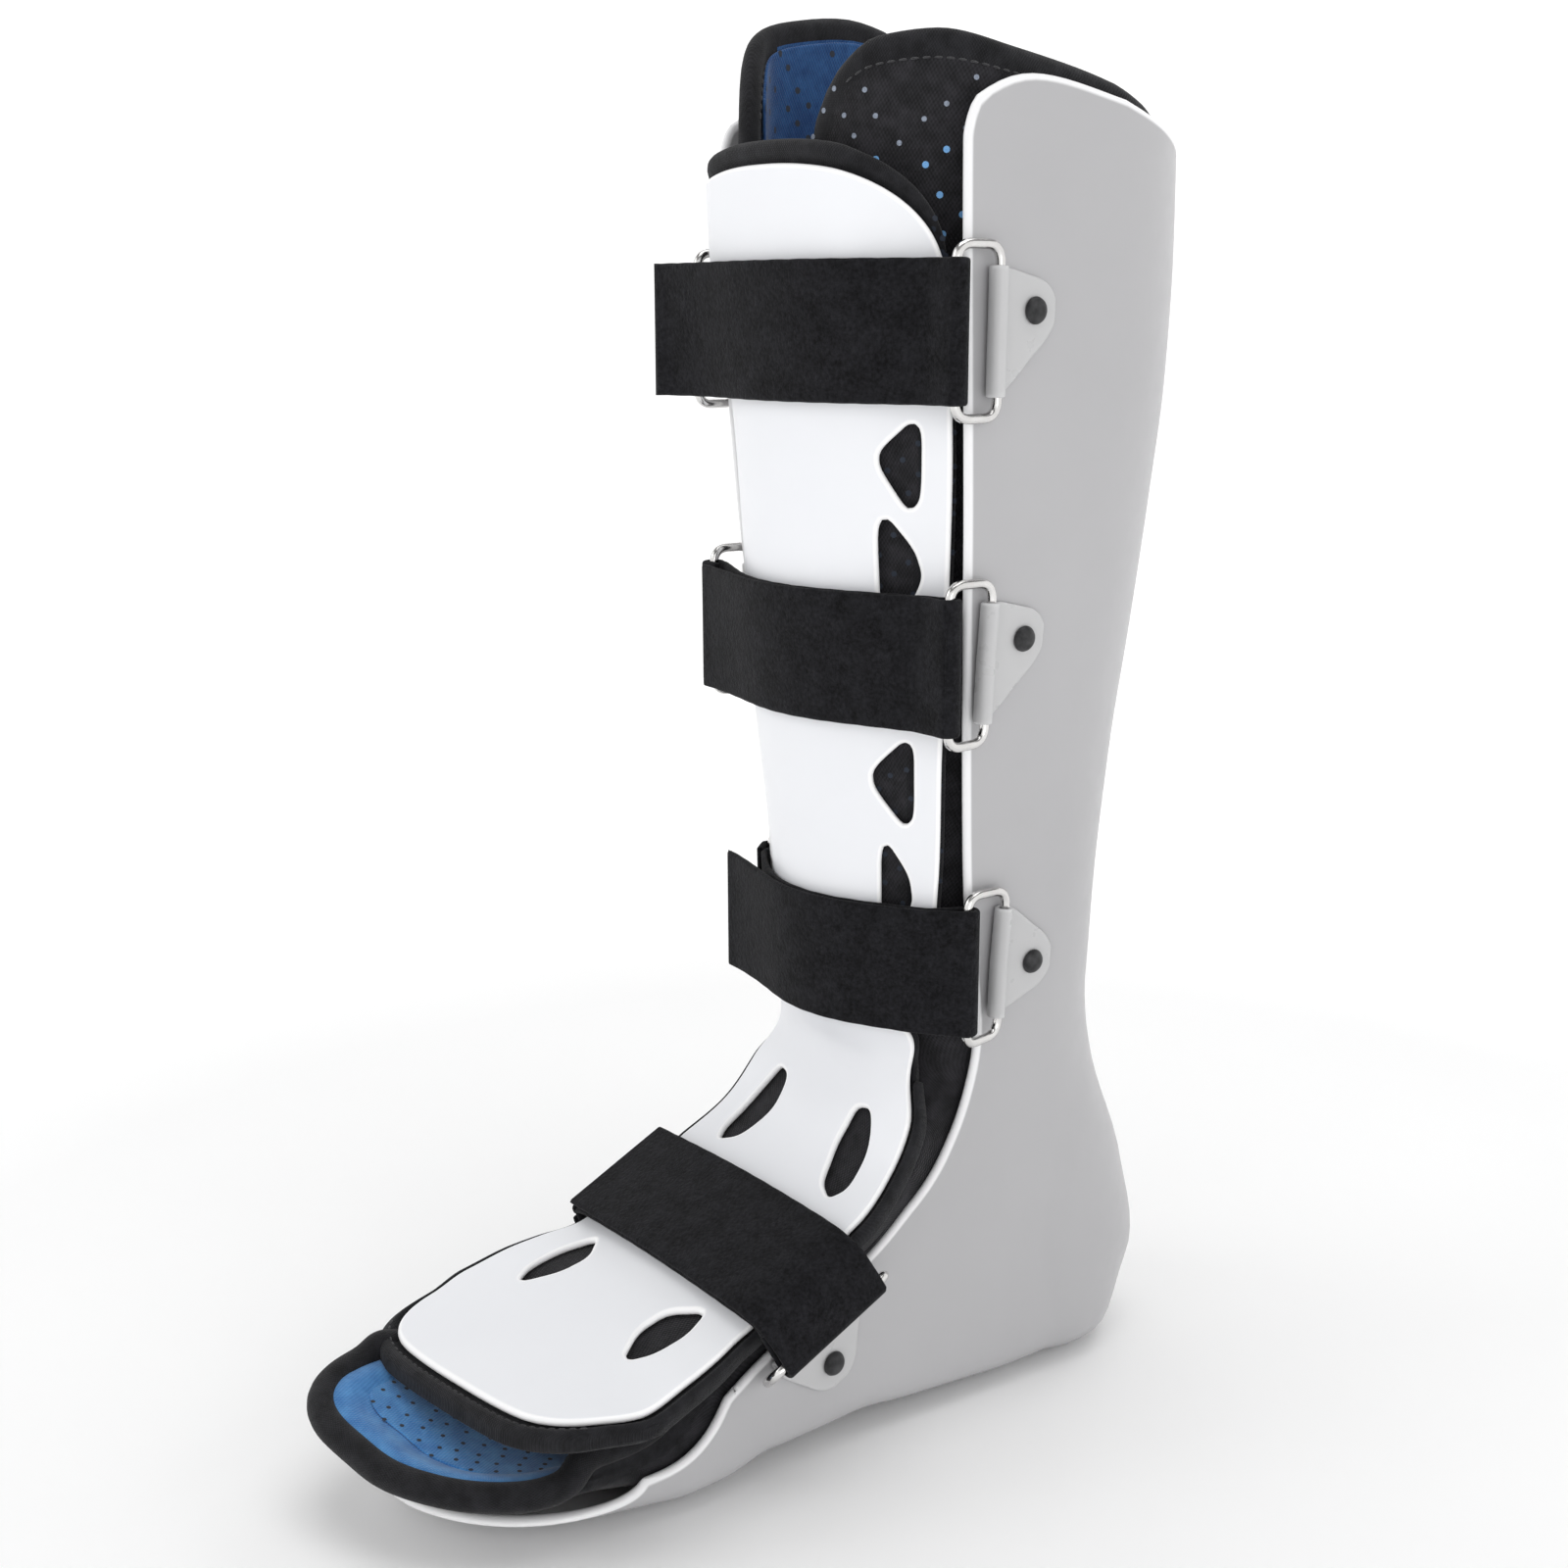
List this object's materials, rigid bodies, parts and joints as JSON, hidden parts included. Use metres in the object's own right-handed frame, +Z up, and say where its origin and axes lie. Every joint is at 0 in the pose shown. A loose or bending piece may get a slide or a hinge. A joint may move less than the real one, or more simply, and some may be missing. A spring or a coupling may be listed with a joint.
{
  "type": "walking boot",
  "caption": "Tall walking boot: grey rear shell with a padded black and blue liner, white shin and instep plates, wide closing straps on wire rings and riveted tabs, open toe.",
  "frame": {"origin": "on the ground under the heel, on the leg's axis", "axes": "+Z up the leg, -Y towards the toe, +X to the side that the picture shows"},
  "size_m": [0.1378, 0.3018, 0.4516],
  "materials": {
    "shell": "satin moulded plastic",
    "plate": "smooth white moulded plastic",
    "liner": "padded black knit, perforated",
    "lining": "blue knit, perforated",
    "strap": "brushed loop cloth",
    "ring": "nickel plated wire",
    "tab": "folded sheet",
    "rivet": "black lacquer"
  },
  "bodies": {
    "root": {"rear_shell": "shell", "liner": "liner", "cuff_lining": "lining", "toe_lining": "lining", "shin_plate": "plate", "shin_tongue": "liner", "instep_plate": "plate", "instep_tongue": "liner", "strap_top": "strap", "ring_top_near": "ring", "tab_top_near": "tab", "rivet_top_near": "rivet", "ring_top_far": "ring", "tab_top_far": "tab", "rivet_top_far": "rivet", "strap_calf": "strap", "ring_calf_near": "ring", "tab_calf_near": "tab", "rivet_calf_near": "rivet", "ring_calf_far": "ring", "tab_calf_far": "tab", "rivet_calf_far": "rivet", "strap_ankle": "strap", "ring_ankle_near": "ring", "tab_ankle_near": "tab", "rivet_ankle_near": "rivet", "ring_ankle_far": "ring", "tab_ankle_far": "tab", "rivet_ankle_far": "rivet", "strap_instep": "strap", "ring_instep_near": "ring", "tab_instep_near": "tab", "rivet_instep_near": "rivet", "ring_instep_far": "ring", "tab_instep_far": "tab", "rivet_instep_far": "rivet"}
  },
  "joints": []
}
